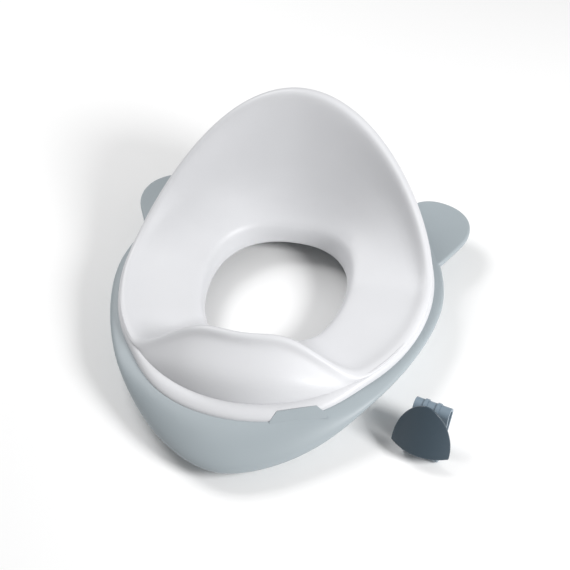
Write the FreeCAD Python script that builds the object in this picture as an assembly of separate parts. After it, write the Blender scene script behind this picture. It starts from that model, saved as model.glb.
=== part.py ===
import FreeCAD, Part
import math
import os

os.makedirs("parts", exist_ok=True)

V = FreeCAD.Vector

# Toilet trainer seat for a small child, with its loose storage hook.
# Millimetres, +Z up, the child faces -Y.  The floor plane is Z = 0 and the
# vertical axis that every ring is drawn around stands at X = 0, Y = 0.

# ---------------------------------------------------------------- driving sizes
seat_width = 298.0            # over the rolled side rims of the white seat
wall = 3.0                    # moulded wall of both shells
pad_proud = 2.0               # how far the soft pads stand below the base
base_height = 35.0            # base alone, from its own bottom edge to its deck

deck_z = pad_proud + base_height      # flat top that the seat stands on
ledge_rise = 6.0                      # height of the seat's stepped ledge
crease_z = deck_z + ledge_rise        # crisp line where the ledge begins
rim_z = crease_z + 7.0                # side rims
lip_z = rim_z - 18.0                  # edge of the seat hole
guard_rise = 37.0                     # splash guard above the rims beside it
front_fall = 5.0                      # side rims run down this far to the front
back_rise = 113.0                     # backrest above the side rims

rim_half = seat_width / 2 - 7.0       # centre line of the rolled rim
crease_half = rim_half + 2.0
hole_half = 66.0
hole_front = 88.0
hole_rear = 68.0

ring_poles = 64                       # control points round every ring
guard_end = 46.0                      # the guard has died away this far round

# ------------------------------------------------------------- small functions


def smooth(value):
    value = min(1.0, max(0.0, value))
    return value * value * (3 - 2 * value)


def oval(angle, side, front, rear, front_fullness=2.0, rear_fullness=2.0):
    """Distance from the axis to an egg-shaped outline, angle 0 being the front."""
    across = abs(math.sin(math.radians(angle)))
    along = math.cos(math.radians(angle))
    reach = front if along > 0 else rear
    power = front_fullness if along > 0 else rear_fullness
    total = (across / side) ** power + (abs(along) / reach) ** power
    return total ** (-1.0 / power)


def from_front(angle):
    return abs((angle + 180.0) % 360.0 - 180.0)


def guard_weight(angle):
    """One at the splash guard, zero at the sides and the back."""
    return 1.0 - smooth((from_front(angle) / guard_end) ** 2.2)


def back_weight(angle):
    """One at the back, zero at the sides and the front."""
    return max(0.0, -math.cos(math.radians(angle)))


def blend(angle, front, side, rear):
    """A value that is given at the front, the sides and the back."""
    g = guard_weight(angle)
    b = back_weight(angle) ** 0.9
    return g * front + b * rear + (1.0 - g - b) * side


def point(angle, radius, height):
    a = math.radians(angle)
    return V(radius * math.sin(a), -radius * math.cos(a), height)


def angles():
    return [360.0 * i / ring_poles for i in range(ring_poles)]


def ring_curve(ring):
    """Closed smooth curve steered by one ring of (radius, height) pairs."""
    poles = [point(a, r, z) for a, (r, z) in zip(angles(), ring)]
    curve = Part.BSplineCurve()
    knots = list(range(ring_poles + 1))
    curve.buildFromPolesMultsKnots(poles, [1] * len(knots), knots, True, 3)
    return curve


def ring_face(rings):
    """Smooth surface steered by a list of rings, exact at the first and last."""
    poles = [[point(a, r, z) for a, (r, z) in zip(angles(), ring)] for ring in rings]
    count = len(rings)
    across = list(range(count - 2))
    across_mults = [4] + [1] * (len(across) - 2) + [4]
    around = list(range(ring_poles + 1))
    surface = Part.BSplineSurface()
    surface.buildFromPolesMultsKnots(
        poles, across_mults, [1] * len(around), across, around,
        False, True, 3, 3)
    return surface.toShape()


def flat_ring(first, second):
    """Level face between two rings of the same height."""
    wires = [Part.Wire(ring_curve(ring).toShape()) for ring in (first, second)]
    wires.sort(key=lambda wire: wire.BoundBox.DiagonalLength, reverse=True)
    face = Part.Face(wires[0])
    hole = Part.Face(wires[1])
    return face.cut(hole).Faces[0]


def closed_solid(faces):
    shell = Part.Compound(faces)
    shell.sewShape(0.01)
    shell = shell.Shells[0]
    solid = Part.Solid(shell)
    if solid.Volume < 0:
        solid.reverse()
    return solid


def inside(rings, thickness, first_z, last_z):
    """The same rings moved by the wall thickness to the hidden side."""
    moved = []
    count = len(rings)
    for k in range(count):
        before = rings[max(k - 1, 0)]
        after = rings[min(k + 1, count - 1)]
        new = []
        for (r0, z0), (r1, z1), (r, z) in zip(before, after, rings[k]):
            length = math.hypot(r1 - r0, z1 - z0)
            new.append((r + thickness * (z1 - z0) / length,
                        z - thickness * (r1 - r0) / length))
        moved.append(new)
    moved[0] = [(r, first_z) for r, z in moved[0]]
    moved[-1] = [(r, last_z) for r, z in moved[-1]]
    return moved


def save(shape, name):
    if len(shape.Solids) == 1:
        shape = shape.Solids[0]
    assert shape.isValid(), name
    shape.exportStep("parts/" + name + ".step")


# ------------------------------------------------------------------ seat outline


def hole_radius(angle):
    return oval(angle, hole_half, hole_front, hole_rear, 2.0, 2.3)


def rim_radius(angle):
    plain = oval(angle, rim_half, rim_half, rim_half - 13.0, 2.0, 1.9)
    return plain - 0.25 * rim_half * guard_weight(angle)


def rim_height(angle):
    ahead = max(0.0, math.cos(math.radians(angle)))
    return (rim_z - front_fall * smooth(2.0 * ahead)
            + guard_rise * guard_weight(angle)
            + back_rise * back_weight(angle) ** 1.6)


def crease_radius(angle):
    return oval(angle, crease_half + 1.0, crease_half + 7.0, crease_half + 7.0)


def ledge_radius(angle):
    return crease_radius(angle) + blend(angle, 14.0, 5.0, 4.0)


# Share of the way from the hole to the rim, and share of the rise, for the
# front, the sides and the back.
dish = [
    ((0.03, 0.02, 0.04), (0.14, 0.35, 0.06)),
    ((0.12, 0.20, 0.22), (0.32, 0.50, 0.10)),
    ((0.35, 0.50, 0.52), (0.58, 0.62, 0.26)),
    ((0.62, 0.80, 0.82), (0.84, 0.72, 0.60)),
    ((0.80, 0.92, 0.95), (0.97, 0.86, 0.92)),
]
# The same from the rim out to the crease, with a bulge that rolls the rim over.
roll = [
    ((0.00, 0.00, 0.00), (-0.06, -0.20, -0.01), (0.0, 0.5, 0.5)),
    ((0.09, 0.20, 0.25), (0.00, 0.00, 0.00), (1.0, 3.5, 6.0)),
    ((0.14, 0.40, 0.50), (0.15, 0.40, 0.14), (0.0, 5.0, 7.5)),
    ((0.50, 0.60, 0.75), (0.30, 0.85, 0.45), (0.0, 5.0, 4.0)),
    ((0.92, 0.80, 0.92), (0.54, 1.05, 0.75), (0.0, 2.0, 2.0)),
]


def dish_ring(shares, rises):
    ring = []
    for a in angles():
        share = blend(a, *shares)
        rise = blend(a, *rises)
        radius = hole_radius(a) + (rim_radius(a) - hole_radius(a)) * share
        height = lip_z + (rim_height(a) - lip_z) * rise
        ring.append((radius, height))
    return ring


def roll_ring(shares, drops, bulges):
    ring = []
    for a in angles():
        share = blend(a, *shares)
        drop = blend(a, *drops)
        radius = rim_radius(a) + (crease_radius(a) - rim_radius(a)) * share
        height = rim_height(a) + (crease_z - rim_height(a)) * drop
        ring.append((radius + blend(a, *bulges), height))
    return ring


# ------------------------------------------------------------------- white seat
lip_bottom_z = lip_z - 10.0
top_rings = [
    [(hole_radius(a) + 1.0, lip_bottom_z) for a in angles()],
    [(hole_radius(a), lip_z - 5.0) for a in angles()],
]
top_rings += [dish_ring(*row) for row in dish]
top_rings += [roll_ring(*row) for row in roll]
crease_ring = [(crease_radius(a), crease_z) for a in angles()]
top_rings.append(crease_ring)

ledge_rings = [crease_ring]
for share, drop in ((0.50, 0.05), (0.96, 0.40)):
    ledge_rings.append([
        (crease_radius(a) + (ledge_radius(a) - crease_radius(a)) * share,
         crease_z - ledge_rise * drop) for a in angles()])
ledge_rings.append([(ledge_radius(a), deck_z) for a in angles()])

hidden_rings = inside(top_rings[:-1] + ledge_rings, wall, lip_bottom_z, deck_z)

seat = closed_solid([
    ring_face(top_rings),
    ring_face(ledge_rings),
    flat_ring(ledge_rings[-1], hidden_rings[-1]),
    ring_face(hidden_rings),
    flat_ring(hidden_rings[0], top_rings[0]),
])

# Four guide pegs under the seat drop through holes in the deck of the base.
peg_radius = 4.5
peg_angles = (64.0, 106.0, 254.0, 296.0)
peg_reach = 118.0
for a in peg_angles:
    foot = point(a, peg_reach, deck_z - 8.0)
    upright = Part.makeLine(foot, point(a, peg_reach, rim_z + back_rise))
    under = seat.common(upright).BoundBox.ZMin
    seat = seat.fuse(Part.makeCylinder(peg_radius, under + 0.4 - foot.z, foot))

# A finger notch cuts one stretch of the ledge back toward the splash guard.
notch_angle = 21.3
notch_long = 34.0
notch_deep = 7.5
notch_slope = 8.0
notch_in = ledge_radius(notch_angle) - notch_deep


def notch_block(gap, reach, height, foot_z):
    """Block of the notch's outline, kept the given gap inside its edges."""
    inner = notch_long / 2 - gap
    outer = notch_long / 2 + notch_slope - gap
    outline = Part.makePolygon([
        V(-inner, -gap, 0), V(inner, -gap, 0), V(outer, -notch_deep, 0),
        V(outer, -reach, 0), V(-outer, -reach, 0), V(-outer, -notch_deep, 0),
        V(-inner, -gap, 0)])
    return Part.Face(outline).extrude(V(0, 0, height)).translate(V(0, 0, foot_z))


def at_notch(shape):
    shape.rotate(V(0, 0, 0), V(0, 0, 1), notch_angle)
    shape.translate(point(notch_angle, notch_in, deck_z))
    return shape


notch = at_notch(notch_block(0.0, 3 * notch_deep, ledge_rise + 4.0, -1.0))
seat = seat.cut(notch)
save(seat, "seat_shell")

# ---------------------------------------------------------- blue-grey base shell
base_foot_z = pad_proud
base_half = 159.0
nose_reach = 209.0
tail_reach = 166.0
foot_half = 130.0
foot_front = 166.0
foot_rear = 138.0


def base_radius(angle):
    return oval(angle, base_half, nose_reach, tail_reach, 1.66, 1.85)


def foot_radius(angle):
    return oval(angle, foot_half, foot_front, foot_rear, 1.8, 2.0)


# Deck edge out to the widest line: share of the way out, share of the drop.
skirt = [
    ((0.30, 0.55, 0.55), (0.04, 0.01, 0.01)),
    ((0.70, 1.00, 1.00), (0.22, 0.04, 0.04)),
    ((0.99, 1.15, 1.15), (0.46, 0.13, 0.13)),
]
# Widest line in to the foot: share of the way in, share of the drop.
tuck = [
    ((0.02, 0.12, 0.12), (0.66, 0.30, 0.30)),
    ((0.50, 0.60, 0.60), (0.92, 0.72, 0.72)),
    ((1.00, 1.00, 1.00), (1.00, 1.00, 1.00)),
]
shelf = 1.5                           # flat of the deck left outside the ledge
collar_gap = 38.0                     # from the seat hole to the inner collar


def skirt_ring(start, end, shares, drops):
    ring = []
    for a in angles():
        first = start(a)
        ring.append((first + (end(a) - first) * blend(a, *shares),
                     deck_z - base_height * blend(a, *drops)))
    return ring


def deck_radius(angle):
    return ledge_radius(angle) + shelf


def collar_ring(offset, height):
    return [(hole_radius(a) + collar_gap + offset, height) for a in angles()]


def straight(first, last):
    """Rings evenly spaced between two rings, for a straight wall."""
    rows = []
    for k in range(4):
        share = k / 3.0
        rows.append([(r0 + (r1 - r0) * share, z0 + (z1 - z0) * share)
                     for (r0, z0), (r1, z1) in zip(first, last)])
    return rows


outer_rings = [[(deck_radius(a), deck_z) for a in angles()]]
outer_rings += [skirt_ring(deck_radius, base_radius, *row) for row in skirt]
outer_rings += [skirt_ring(base_radius, foot_radius, *row) for row in tuck]
under_rings = inside(outer_rings, wall, deck_z - wall, base_foot_z)
collar_top = collar_ring(0.0, deck_z)
collar_foot = collar_ring(0.0, base_foot_z)
collar_foot_in = collar_ring(wall, base_foot_z)
collar_top_in = collar_ring(wall, deck_z - wall)

base = closed_solid([
    ring_face(outer_rings),
    flat_ring(outer_rings[0], collar_top),
    ring_face(straight(collar_top, collar_foot)),
    flat_ring(collar_foot, collar_foot_in),
    ring_face(straight(collar_foot_in, collar_top_in)),
    flat_ring(collar_top_in, under_rings[0]),
    ring_face(under_rings),
    flat_ring(under_rings[-1], outer_rings[-1]),
])

# Ear handles: flat rounded lobes toward the back, one on each side.
ear_outline = [
    (136.0, 40.0), (151.0, 54.0), (158.0, 67.0), (165.0, 80.0), (169.5, 93.0),
    (170.0, 106.0), (166.0, 118.0), (156.0, 129.0), (142.0, 136.0),
    (126.0, 138.0), (112.0, 132.0), (112.0, 104.0), (124.0, 68.0)]
ear_thick = 6.0
ear_top = deck_z - 0.6
for side in (1, -1):
    outline = Part.BSplineCurve()
    outline.interpolate([V(side * x, y, ear_top - ear_thick)
                         for x, y in ear_outline], True)
    plate = Part.Face(Part.Wire(outline.toShape())).extrude(V(0, 0, ear_thick))
    plate = plate.makeFillet(2.2, plate.Edges)
    base = base.fuse(plate)

# A ramp on the deck fills the finger notch and runs out over the skirt.
ramp_run = notch_deep + 3.0
ramp_top = ledge_rise - 1.2
ramp_level = 1.5                      # level stretch before it slopes down
ramp_gap = 0.4                        # clear of the seat's notch all round
sunk = 1.0                            # how far it reaches into the deck
far_left = -2 * notch_long
side_view = Part.makePolygon([
    V(far_left, 0, -sunk), V(far_left, 0, ramp_top),
    V(far_left, -ramp_level, ramp_top), V(far_left, -ramp_run, -sunk),
    V(far_left, 0, -sunk)])
ramp = Part.Face(side_view).extrude(V(4 * notch_long, 0, 0))
ramp = ramp.common(notch_block(ramp_gap, ramp_run, ledge_rise + 2 * sunk, -sunk))
base = base.fuse(at_notch(ramp))

# Solid blocks under the deck carry the soft pads.
pad_long = 34.0
pad_wide = 13.0
pad_seated = 2.0
pad_angles = {"front_right": 42.0, "back_right": 138.0,
              "back_left": 222.0, "front_left": 318.0}


def capsule(length, width, height):
    """Upright solid with rounded ends, centred on the Z axis, foot at zero."""
    bar = Part.makeBox(length - width, width, height,
                       V(-(length - width) / 2, -width / 2, 0))
    for end in (-1, 1):
        bar = bar.fuse(Part.makeCylinder(
            width / 2, height, V(end * (length - width) / 2, 0, 0)))
    return bar.removeSplitter()


def pad_reach(angle):
    return (hole_radius(angle) + collar_gap + foot_radius(angle)) / 2 - 1.0


def placed(shape, angle, height):
    shape = shape.copy()
    shape.rotate(V(0, 0, 0), V(0, 0, 1), angle)
    shape.translate(point(angle, pad_reach(angle), height))
    return shape


block_wall = 4.0                      # of the block around its pad
pad_gap = 0.3                         # round the pad in its pocket
peg_gap = 0.6                         # round each peg in its hole
block = capsule(pad_long + 2 * block_wall, pad_wide + 2 * block_wall,
                base_height - wall + 1.0)
pocket = capsule(pad_long + 2 * pad_gap, pad_wide + 2 * pad_gap, pad_seated + 1.0)
for angle in pad_angles.values():
    base = base.fuse(placed(block, angle, base_foot_z))
for angle in pad_angles.values():
    base = base.cut(placed(pocket, angle, base_foot_z - 1.0))
for a in peg_angles:
    centre = point(a, peg_reach, deck_z - wall - 5.0)
    base = base.cut(Part.makeCylinder(peg_radius + peg_gap, 4 * wall, centre))
save(base, "base_shell")

pad = capsule(pad_long, pad_wide, pad_seated + pad_proud)
pad = pad.makeFillet(0.8, [edge for edge in pad.Edges
                           if abs(edge.BoundBox.ZMax) < 1e-6])
for place, angle in pad_angles.items():
    save(placed(pad, angle, 0.0), "grip_pad_" + place)

# ------------------------------------------------------------------- loose hook
# Drawn upright in its own frame, +Y to its back, then leaned and turned.
hook_x = 163.5
hook_y = -141.3
hook_turn = -13.5
hook_lean = 22.0
strap_wide = 32.0
strap_thick = 2.4
strap_top = 47.0
pocket_gap = 8.0                      # between the toe and the front leg
clip_gap = 8.6                        # inside the bend over the top
pinch_gap = 3.0                       # where the back leg comes closest
pinch_drop = 19.0
back_leg_flare = 4.0                  # the back leg's end kicks out this far
back_leg_tail = 8.0                   # below the pinch
rib_wide = 3.0
rib_proud = 1.0
rib_middles = (-0.20 * strap_wide, 0.15 * strap_wide)
toe_top = 20.0
shield_wide = 52.0
shield_rise = 42.5                    # from the corners to the point of the arch
shield_sag = 4.0                      # the foot is bowed this far down
shield_thick = 2.2
shield_round = 0.8                    # on every edge of the shield
shield_curve = 50.0                   # radius of the shield, seen from above
shield_foot_y = -15.3                 # front of the foot ahead of the strap's toe
shield_foot_z = 11.7
shield_lean = 8.0                     # leans back more than the strap does
land_wide = 26.0                      # joins the shield to the toe

front_leg = pocket_gap / 2
inside_leg = front_leg + strap_thick
bend_y = inside_leg + clip_gap / 2
bend_z = strap_top - clip_gap / 2 - strap_thick
toe_z = pocket_gap / 2 + strap_thick


def bar(outline, wide, middle=0.0):
    """Solid of the given (back, up) outline, along X and centred on middle."""
    corners = [V(middle - wide / 2, y, z) for y, z in outline + outline[:1]]
    return Part.Face(Part.makePolygon(corners)).extrude(V(wide, 0, 0))


def half_tube(y, z, inner, outer, wide, middle, upper):
    """Half of a tube lying along X: a bend of the strap."""
    start = V(middle - wide / 2, y, z)
    tube = Part.makeCylinder(outer, wide, start, V(1, 0, 0))
    tube = tube.cut(Part.makeCylinder(inner, wide, start, V(1, 0, 0)))
    low = 0.0 if upper else -outer - 1.0
    keep = bar([(y - outer - 1, z + low), (y + outer + 1, z + low),
                (y + outer + 1, z + low + outer + 1),
                (y - outer - 1, z + low + outer + 1)], wide + 2.0, middle)
    return tube.common(keep)


def clip(wide, middle, skin_in, skin_out):
    """Front leg, top bend and pinched back leg between two skin depths."""
    pinch_z = bend_z - pinch_drop
    top = inside_leg + clip_gap
    pinch = inside_leg + pinch_gap
    flare = pinch + back_leg_flare
    tail_z = pinch_z - back_leg_tail
    slope = 0.25 * skin_out
    back_leg = [
        (top + skin_in, bend_z), (pinch + skin_in, pinch_z),
        (flare + skin_in, tail_z), (flare + skin_out, tail_z + slope),
        (pinch + skin_out, pinch_z + slope), (top + skin_out, bend_z)]
    leg_foot = toe_z if skin_in == 0.0 else toe_top
    leg = [(inside_leg - skin_in, leg_foot), (inside_leg - skin_in, bend_z),
           (inside_leg - skin_out, bend_z), (inside_leg - skin_out, leg_foot)]
    bend = half_tube(bend_y, bend_z, clip_gap / 2 + skin_in,
                     clip_gap / 2 + skin_out, wide, middle, True)
    return bend.fuse([bar(back_leg, wide, middle), bar(leg, wide, middle)])


strap = clip(strap_wide, 0.0, 0.0, strap_thick)
toe = half_tube(0.0, toe_z, pocket_gap / 2, pocket_gap / 2 + strap_thick,
                strap_wide, 0.0, False)
toe_leg = bar([(-inside_leg, toe_z), (-front_leg, toe_z),
               (-front_leg, toe_top), (-inside_leg, toe_top)], strap_wide)
strap = strap.fuse([toe, toe_leg])
for middle in rib_middles:
    strap = strap.fuse(clip(rib_wide, middle, strap_thick - 0.3,
                            strap_thick + rib_proud))
strap = strap.removeSplitter()

# Shield: a pointed arch cut out of an upright curved skin.
half = shield_wide / 2
arch_shape = [(1.0, 0.0), (0.98, 0.24), (0.85, 0.52), (0.60, 0.78), (0.30, 0.94)]
arch_points = [V(half * x, 0, shield_rise * z) for x, z in arch_shape]
arch_points.append(V(0, 0, shield_rise))
arch_points += [V(-half * x, 0, shield_rise * z) for x, z in reversed(arch_shape)]
arch = Part.BSplineCurve()
arch.interpolate(arch_points)
sill = Part.Arc(V(-half, 0, 0), V(0, 0, -shield_sag), V(half, 0, 0))
slab = Part.Face(Part.Wire([arch.toShape(), sill.toShape()]))
slab = slab.extrude(V(0, shield_curve, 0))
axis_foot = V(0, shield_curve, -shield_curve)
skin = Part.makeCylinder(shield_curve, 3 * shield_curve, axis_foot)
skin = skin.cut(Part.makeCylinder(shield_curve - shield_thick,
                                  3 * shield_curve, axis_foot))
shield = slab.common(skin)
shield = shield.makeFillet(shield_round, shield.Edges)
core = Part.makeCylinder(shield_curve - shield_thick / 2, 3 * shield_curve, axis_foot)
for shape in (shield, core):
    shape.rotate(V(0, 0, 0), V(1, 0, 0), -shield_lean)
    shape.translate(V(0, shield_foot_y, shield_foot_z))
# A land behind the shield carries it on the toe.
land = bar([(shield_foot_y - 2.0, shield_foot_z - 1.0),
            (-inside_leg, shield_foot_z - 1.0),
            (-inside_leg, toe_top), (shield_foot_y - 2.0, toe_top)], land_wide)
shield = shield.fuse(land.common(core)).removeSplitter()


def stand(shape):
    """Lean the hook back on its toe, turn it and put it beside the seat."""
    shape = shape.copy()
    centre = V(0, 0, toe_z)
    shape.rotate(centre, V(1, 0, 0), -hook_lean)
    shape.rotate(V(0, 0, 0), V(0, 0, 1), hook_turn)
    shape.translate(V(hook_x, hook_y, 0))
    return shape


save(stand(strap), "hook_strap")
save(stand(shield), "hook_shield")
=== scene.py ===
import math

import bpy
from bpy.props import FloatProperty, FloatVectorProperty, PointerProperty
from mathutils import Matrix, Vector

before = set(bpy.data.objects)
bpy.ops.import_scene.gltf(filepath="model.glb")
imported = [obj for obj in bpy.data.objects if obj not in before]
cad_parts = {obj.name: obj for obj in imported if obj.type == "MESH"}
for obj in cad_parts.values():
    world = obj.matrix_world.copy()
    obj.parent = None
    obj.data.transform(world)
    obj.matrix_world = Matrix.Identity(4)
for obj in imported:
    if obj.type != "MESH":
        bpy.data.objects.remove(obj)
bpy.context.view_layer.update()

bl_info = {
    "name": "Toilet trainer seat",
    "version": (1, 0, 0),
    "blender": (4, 5, 0),
    "location": "View3D > Sidebar > Trainer seat",
    "description": "A child's toilet trainer seat with ear handles and a loose storage hook",
    "category": "Object",
}

# Noise scales, in cycles per metre: the skin texture of hard plastic and of rubber,
# the broad flow marks and the finer change of sheen.
PLASTIC_GRAIN = 1400.0
RUBBER_GRAIN = 900.0
FLOW_SCALE = 9.0
WIPE_SCALE = 38.0

# Middle of what the camera sees and of what the softboxes light.
VIEW_TARGET = (0.0131, -0.012, 0.047)
LIGHT_TARGET = (0.0, 0.0, 0.05)


# ----------------------------------------------------------------- settings
class ColourSettings(bpy.types.PropertyGroup):
    """Colours and finish of the moulded parts."""

    seat_colour: FloatVectorProperty(
        name="Seat", description="White of the seat shell",
        subtype="COLOR", size=3, min=0, max=1, default=(0.66, 0.665, 0.685))
    base_colour: FloatVectorProperty(
        name="Base", description="Blue-grey of the base shell",
        subtype="COLOR", size=3, min=0, max=1, default=(0.345, 0.39, 0.415))
    strap_colour: FloatVectorProperty(
        name="Hook strap", description="Slate of the hook's clip",
        subtype="COLOR", size=3, min=0, max=1, default=(0.19, 0.245, 0.295))
    shield_colour: FloatVectorProperty(
        name="Hook shield", description="Dark slate of the hook's shield",
        subtype="COLOR", size=3, min=0, max=1, default=(0.04, 0.062, 0.082))
    pad_colour: FloatVectorProperty(
        name="Grip pads", description="Soft rubber under the base",
        subtype="COLOR", size=3, min=0, max=1, default=(0.16, 0.18, 0.20))


class StageSettings(bpy.types.PropertyGroup):
    """Camera, floor and studio light."""

    azimuth: FloatProperty(
        name="Azimuth", description="How far the camera stands to the right of the front",
        subtype="ANGLE", unit="ROTATION", default=math.radians(18.54))
    elevation: FloatProperty(
        name="Elevation", description="How high the camera looks down",
        subtype="ANGLE", unit="ROTATION", default=math.radians(46.28))
    roll: FloatProperty(
        name="Roll", description="Turn of the camera about its own line of sight",
        subtype="ANGLE", unit="ROTATION", default=math.radians(-6.0))
    distance: FloatProperty(
        name="Distance", description="From the camera to the point it looks at",
        unit="LENGTH", min=0.1, default=1.0272)
    lens: FloatProperty(
        name="Lens", description="Focal length of the camera",
        unit="CAMERA", min=10, default=69.47)
    floor_size: FloatProperty(
        name="Floor", description="Side of the square floor",
        unit="LENGTH", min=1, default=8.0)


# ---------------------------------------------------------------- materials
def node_of(tree, kind, x, y, **values):
    """Add a shader node and set its sockets or properties by name."""
    node = tree.nodes.new(kind)
    node.location = (x, y)
    for name, value in values.items():
        if name in node.inputs:
            node.inputs[name].default_value = value
        else:
            setattr(node, name, value)
    return node


def moulded_plastic(name, colour, roughness, grain=PLASTIC_GRAIN, coat=0.0):
    """Moulded plastic: faint flow marks in the colour, a fine skin texture."""
    material = bpy.data.materials.new(name)
    material.use_nodes = True
    tree = material.node_tree
    tree.nodes.clear()
    link = tree.links.new
    out = node_of(tree, "ShaderNodeOutputMaterial", 900, 0)
    shader = node_of(tree, "ShaderNodeBsdfPrincipled", 600, 0)
    shader.inputs["IOR"].default_value = 1.49
    shader.inputs["Coat Weight"].default_value = coat
    shader.inputs["Coat Roughness"].default_value = 0.18
    link(shader.outputs["BSDF"], out.inputs["Surface"])
    place = node_of(tree, "ShaderNodeTexCoord", -900, 0)

    flow = node_of(tree, "ShaderNodeTexNoise", -600, 200, Scale=FLOW_SCALE, Detail=3.0)
    link(place.outputs["Object"], flow.inputs["Vector"])
    tint = node_of(tree, "ShaderNodeValToRGB", -300, 200)
    dark = [channel * 0.965 for channel in colour]
    light = [min(1.0, channel * 1.02) for channel in colour]
    tint.color_ramp.elements[0].position = 0.35
    tint.color_ramp.elements[1].position = 0.65
    tint.color_ramp.elements[0].color = (*dark, 1)
    tint.color_ramp.elements[1].color = (*light, 1)
    link(flow.outputs["Fac"], tint.inputs["Fac"])
    link(tint.outputs["Color"], shader.inputs["Base Color"])

    wipe = node_of(tree, "ShaderNodeTexNoise", -600, -50, Scale=WIPE_SCALE, Detail=5.0)
    link(place.outputs["Object"], wipe.inputs["Vector"])
    sheen = node_of(tree, "ShaderNodeMapRange", -300, -50)
    sheen.inputs["To Min"].default_value = roughness * 0.9
    sheen.inputs["To Max"].default_value = roughness * 1.12
    link(wipe.outputs["Fac"], sheen.inputs["Value"])
    link(sheen.outputs["Result"], shader.inputs["Roughness"])

    skin = node_of(tree, "ShaderNodeTexNoise", -600, -300, Scale=grain, Detail=4.0)
    link(place.outputs["Object"], skin.inputs["Vector"])
    bump = node_of(tree, "ShaderNodeBump", -300, -300, Strength=0.06, Distance=0.0004)
    link(skin.outputs["Fac"], bump.inputs["Height"])
    link(bump.outputs["Normal"], shader.inputs["Normal"])
    return material


def dress(node_name, material):
    """Give a CAD node one material."""
    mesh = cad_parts[node_name].data
    mesh.materials.clear()
    mesh.materials.append(material)


# ---------------------------------------------------------------- operators
class TRAINER_OT_shells(bpy.types.Operator):
    """Give the two moulded shells and the pads their finishes"""

    bl_idname = "trainer.shells"
    bl_label = "Shell finishes"

    def execute(self, context):
        colours = context.scene.trainer_colours
        seat = moulded_plastic("seat plastic", colours.seat_colour, 0.46, coat=0.04)
        base = moulded_plastic("base plastic", colours.base_colour, 0.47)
        pad = moulded_plastic("pad rubber", colours.pad_colour, 0.75, RUBBER_GRAIN)
        dress("seat_shell", seat)
        dress("base_shell", base)
        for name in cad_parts:
            if name.startswith("grip_pad"):
                dress(name, pad)
        return {"FINISHED"}


class TRAINER_OT_hook(bpy.types.Operator):
    """Finish the loose storage hook"""

    bl_idname = "trainer.hook"
    bl_label = "Storage hook"

    def execute(self, context):
        colours = context.scene.trainer_colours
        strap = moulded_plastic("strap plastic", colours.strap_colour, 0.38)
        shield = moulded_plastic("shield plastic", colours.shield_colour, 0.34)
        dress("hook_strap", strap)
        dress("hook_shield", shield)
        return {"FINISHED"}


def soft_light(name, place, size, power):
    """Round softbox aimed at the seat; size in metres, power in watts."""
    data = bpy.data.lights.new(name, "AREA")
    data.shape = "DISK"
    data.size = size
    data.energy = power
    light = bpy.data.objects.new(name, data)
    bpy.context.scene.collection.objects.link(light)
    light.location = place
    light.rotation_euler = (Vector(LIGHT_TARGET) - Vector(place)).to_track_quat("-Z", "Y").to_euler()


class TRAINER_OT_stage(bpy.types.Operator):
    """Add the floor, the studio light and the camera"""

    bl_idname = "trainer.stage"
    bl_label = "Stage"

    def execute(self, context):
        scene = context.scene
        stage = scene.trainer_stage
        bpy.ops.object.select_all(action="DESELECT")
        bpy.ops.mesh.primitive_plane_add(size=stage.floor_size, location=(0, 0, 0))
        floor = context.active_object
        floor.name = "floor"
        paper = bpy.data.materials.new("floor paper")
        paper.use_nodes = True
        shader = paper.node_tree.nodes["Principled BSDF"]
        shader.inputs["Base Color"].default_value = (0.93, 0.93, 0.93, 1)
        shader.inputs["Roughness"].default_value = 0.9
        shader.inputs["Specular IOR Level"].default_value = 0.1
        floor.data.materials.append(paper)

        world = bpy.data.worlds.new("studio")
        world.use_nodes = True
        sky = world.node_tree.nodes["Background"]
        sky.inputs["Color"].default_value = (1, 1, 1, 1)
        sky.inputs["Strength"].default_value = 0.28
        scene.world = world
        scene.view_settings.view_transform = "Standard"

        soft_light("right softbox", (1.2, -0.45, 0.85), 0.5, 20.5)
        soft_light("top softbox", (-0.8, 0.5, 1.2), 0.9, 13.0)

        data = bpy.data.cameras.new("camera")
        data.sensor_width = 36.0
        data.lens = stage.lens
        camera = bpy.data.objects.new("camera", data)
        scene.collection.objects.link(camera)
        turn = (Matrix.Rotation(stage.azimuth, 4, "Z")
                @ Matrix.Rotation(math.pi / 2 - stage.elevation, 4, "X")
                @ Matrix.Rotation(stage.roll, 4, "Z"))
        camera.matrix_world = (Matrix.Translation(VIEW_TARGET) @ turn
                               @ Matrix.Translation((0, 0, stage.distance)))
        scene.camera = camera
        return {"FINISHED"}


class TRAINER_PT_panel(bpy.types.Panel):
    """Sidebar panel that shows the colour and stage settings and the operator buttons"""

    bl_label = "Trainer seat"
    bl_idname = "TRAINER_PT_panel"
    bl_space_type = "VIEW_3D"
    bl_region_type = "UI"
    bl_category = "Trainer seat"

    def draw(self, context):
        for group in (context.scene.trainer_colours, context.scene.trainer_stage):
            for name in group.__annotations__:
                self.layout.prop(group, name)
        for operator in OPERATORS:
            self.layout.operator(operator.bl_idname)


OPERATORS = (TRAINER_OT_shells, TRAINER_OT_hook, TRAINER_OT_stage)
CLASSES = (ColourSettings, StageSettings, *OPERATORS, TRAINER_PT_panel)


def register():
    for item in CLASSES:
        bpy.utils.register_class(item)
    bpy.types.Scene.trainer_colours = PointerProperty(type=ColourSettings)
    bpy.types.Scene.trainer_stage = PointerProperty(type=StageSettings)


def unregister():
    del bpy.types.Scene.trainer_colours
    del bpy.types.Scene.trainer_stage
    for item in reversed(CLASSES):
        bpy.utils.unregister_class(item)


def main():
    register()
    bpy.ops.trainer.shells()
    bpy.ops.trainer.hook()
    bpy.ops.trainer.stage()


if __name__ == "__main__":
    main()
